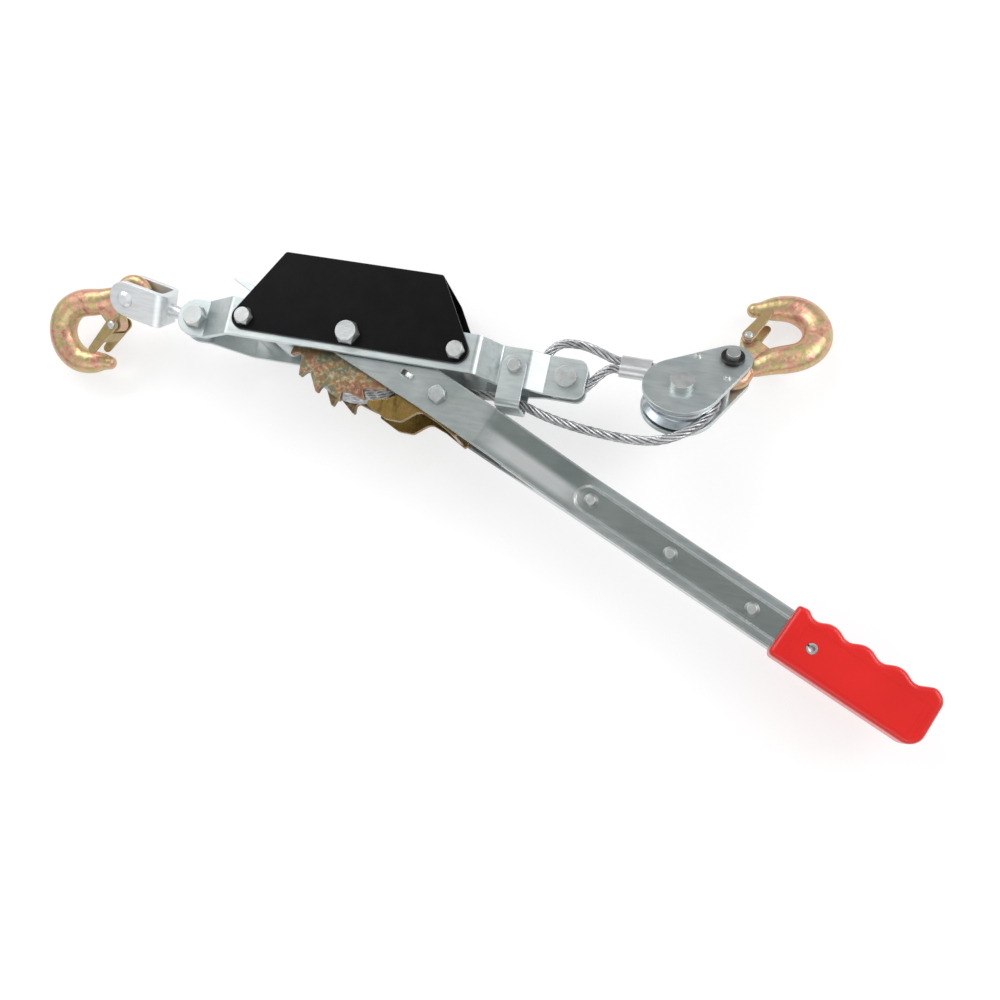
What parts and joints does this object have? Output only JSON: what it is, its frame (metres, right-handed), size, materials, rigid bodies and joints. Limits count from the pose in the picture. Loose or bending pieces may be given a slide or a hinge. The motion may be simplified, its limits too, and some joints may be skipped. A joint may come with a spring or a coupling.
{
  "type": "come along winch",
  "caption": "Hand ratchet rope puller: lever handle with red grip turns a toothed drum; wire rope runs round a pulley block; forged latch hook at each end.",
  "frame": {"origin": "on the drum axis, in the plane of the axle nut's outer face, the lowest point as it lies", "axes": "+Z along the drum axis towards the axle bolt's head; +X from the frame hook to the pulley block; +Y towards the cover's top"},
  "size_m": [0.5673, 0.2434, 0.0652],
  "materials": {
    "plate_zinc": "clear zinc plated, satin",
    "fastener_zinc": "zinc plated, dull",
    "yoke_zinc": "clear zinc plated, bright",
    "spring_steel": "bright wire",
    "yellow_zinc": "yellow zinc plated forging, iridescent",
    "latch_zinc": "yellow zinc plated sheet",
    "cover_black": "black powder coat, satin",
    "grip_red": "red moulded plastic, glossy",
    "ferrule_alloy": "pressed, satin",
    "rope_steel": "galvanised stranded wire",
    "ring_black": "black spring steel"
  },
  "bodies": {
    "frame": {"front_side_plate": "plate_zinc", "rear_side_plate": "plate_zinc", "cover": "cover_black", "drum_axle_bolt": "fastener_zinc", "drum_axle_nut": "fastener_zinc", "axle_sleeve": "fastener_zinc", "left_tie_bolt": "fastener_zinc", "left_tie_nut": "fastener_zinc", "left_tie_spacer": "fastener_zinc", "right_tie_bolt": "fastener_zinc", "right_tie_nut": "fastener_zinc", "right_tie_spacer": "fastener_zinc", "clevis_bolt": "fastener_zinc", "clevis_nut": "fastener_zinc", "anchor_pin": "fastener_zinc", "anchor_spool": "fastener_zinc", "rope_guide": "plate_zinc", "guide_bolt": "fastener_zinc", "guide_nut": "fastener_zinc", "holding_pawl_pin": "fastener_zinc", "holding_pawl_spring": "spring_steel", "ferrule": "ferrule_alloy", "wire_rope": "rope_steel"},
    "drum": {"drum_core": "fastener_zinc", "front_ratchet": "yellow_zinc", "rear_ratchet": "yellow_zinc", "rope_pack": "rope_steel"},
    "handle": {"front_handle_strip": "plate_zinc", "rear_handle_strip": "plate_zinc", "handle_rivet_1": "fastener_zinc", "handle_rivet_2": "fastener_zinc", "handle_rivet_3": "fastener_zinc", "grip": "grip_red", "grip_pin": "fastener_zinc", "pawl_bolt": "fastener_zinc", "pawl_nut": "fastener_zinc", "drive_pawl_spring": "spring_steel"},
    "drive_pawl": {"drive_pawl": "yellow_zinc"},
    "holding_pawl": {"holding_pawl": "plate_zinc"},
    "swivel_stud": {"swivel_stud": "yoke_zinc"},
    "yoke": {"yoke": "yoke_zinc", "yoke_pin": "fastener_zinc"},
    "frame_hook": {"frame_hook": "yellow_zinc", "frame_latch_rivet": "latch_zinc", "frame_latch_spring": "spring_steel"},
    "frame_hook_latch": {"frame_hook_latch": "latch_zinc"},
    "block": {"front_block_plate": "plate_zinc", "rear_block_plate": "plate_zinc", "sheave_pin": "fastener_zinc", "block_hook_pin": "fastener_zinc", "retaining_ring": "ring_black", "block_spacer_rivet_1": "fastener_zinc", "block_spacer_rivet_2": "fastener_zinc"},
    "sheave": {"sheave": "yoke_zinc"},
    "block_hook": {"block_hook": "yellow_zinc", "block_latch_rivet": "latch_zinc", "block_latch_spring": "spring_steel"},
    "block_hook_latch": {"block_hook_latch": "latch_zinc"}
  },
  "joints": [
    {"name": "handle_swing", "type": "hinge", "parent": "frame", "child": "handle", "pos_m": [0, 0, 0.0332], "axis": [0, 0, 1], "range_deg": [-90, 0]},
    {"name": "drum_spin", "type": "hinge", "parent": "frame", "child": "drum", "pos_m": [0, 0, 0.0332], "axis": [0, 0, 1], "range_deg": [0, 6840]},
    {"name": "drive_pawl_pivot", "type": "hinge", "parent": "handle", "child": "drive_pawl", "pos_m": [0.05897, -0.02588, 0.0332], "axis": [0, 0, 1], "range_deg": [-7.3, 20]},
    {"name": "holding_pawl_pivot", "type": "hinge", "parent": "frame", "child": "holding_pawl", "pos_m": [-0.048, -0.003, 0.0332], "axis": [0, 0, 1], "range_deg": [-18, 8]},
    {"name": "clevis_pivot", "type": "hinge", "parent": "frame", "child": "swivel_stud", "pos_m": [-0.1045, 0, 0.0332], "axis": [0, 0, 1], "range_deg": [-40, 40]},
    {"name": "yoke_swivel", "type": "hinge", "parent": "swivel_stud", "child": "yoke", "pos_m": [-0.15211, 0.00925, 0.0332], "axis": [0.9816, -0.1908, 0], "continuous": true},
    {"name": "frame_hook_pivot", "type": "hinge", "parent": "yoke", "child": "frame_hook", "pos_m": [-0.15211, 0.00925, 0.0332], "axis": [-0.1067, -0.5489, 0.829], "range_deg": [-60, 45]},
    {"name": "frame_latch_pivot", "type": "hinge", "parent": "frame_hook", "child": "frame_hook_latch", "pos_m": [-0.16192, -0.00857, 0.02537], "axis": [-0.0715, -0.3677, 0.9272], "range_deg": [-45, 0], "stiffness_Nm_per_rad": 0.02, "springref_deg": 20.05},
    {"name": "block_travel", "type": "slide", "parent": "frame", "child": "block", "axis": [1, 0, 0], "range_m": [0, 1.32], "deforming": ["wire_rope"]},
    {"name": "sheave_spin", "type": "hinge", "parent": "block", "child": "sheave", "pos_m": [0.1935, -0.001, 0.0412], "axis": [0, 0.515, 0.8572], "range_deg": [0, 3800]},
    {"name": "block_hook_pivot", "type": "hinge", "parent": "block", "child": "block_hook", "pos_m": [0.218, 0.02283, 0.02688], "axis": [0, 0.515, 0.8572], "range_deg": [-45, 70]},
    {"name": "block_latch_pivot", "type": "hinge", "parent": "block_hook", "child": "block_hook_latch", "pos_m": [0.22423, 0.04233, 0.01939], "axis": [0, 0.3584, 0.9336], "range_deg": [-45, 0], "stiffness_Nm_per_rad": 0.02, "springref_deg": 20.05}
  ],
  "couplings": [
    {"joint": "block_travel", "follows": "drum_spin", "m_per_rad": 0.011},
    {"joint": "sheave_spin", "follows": "drum_spin", "ratio": 0.545}
  ]
}
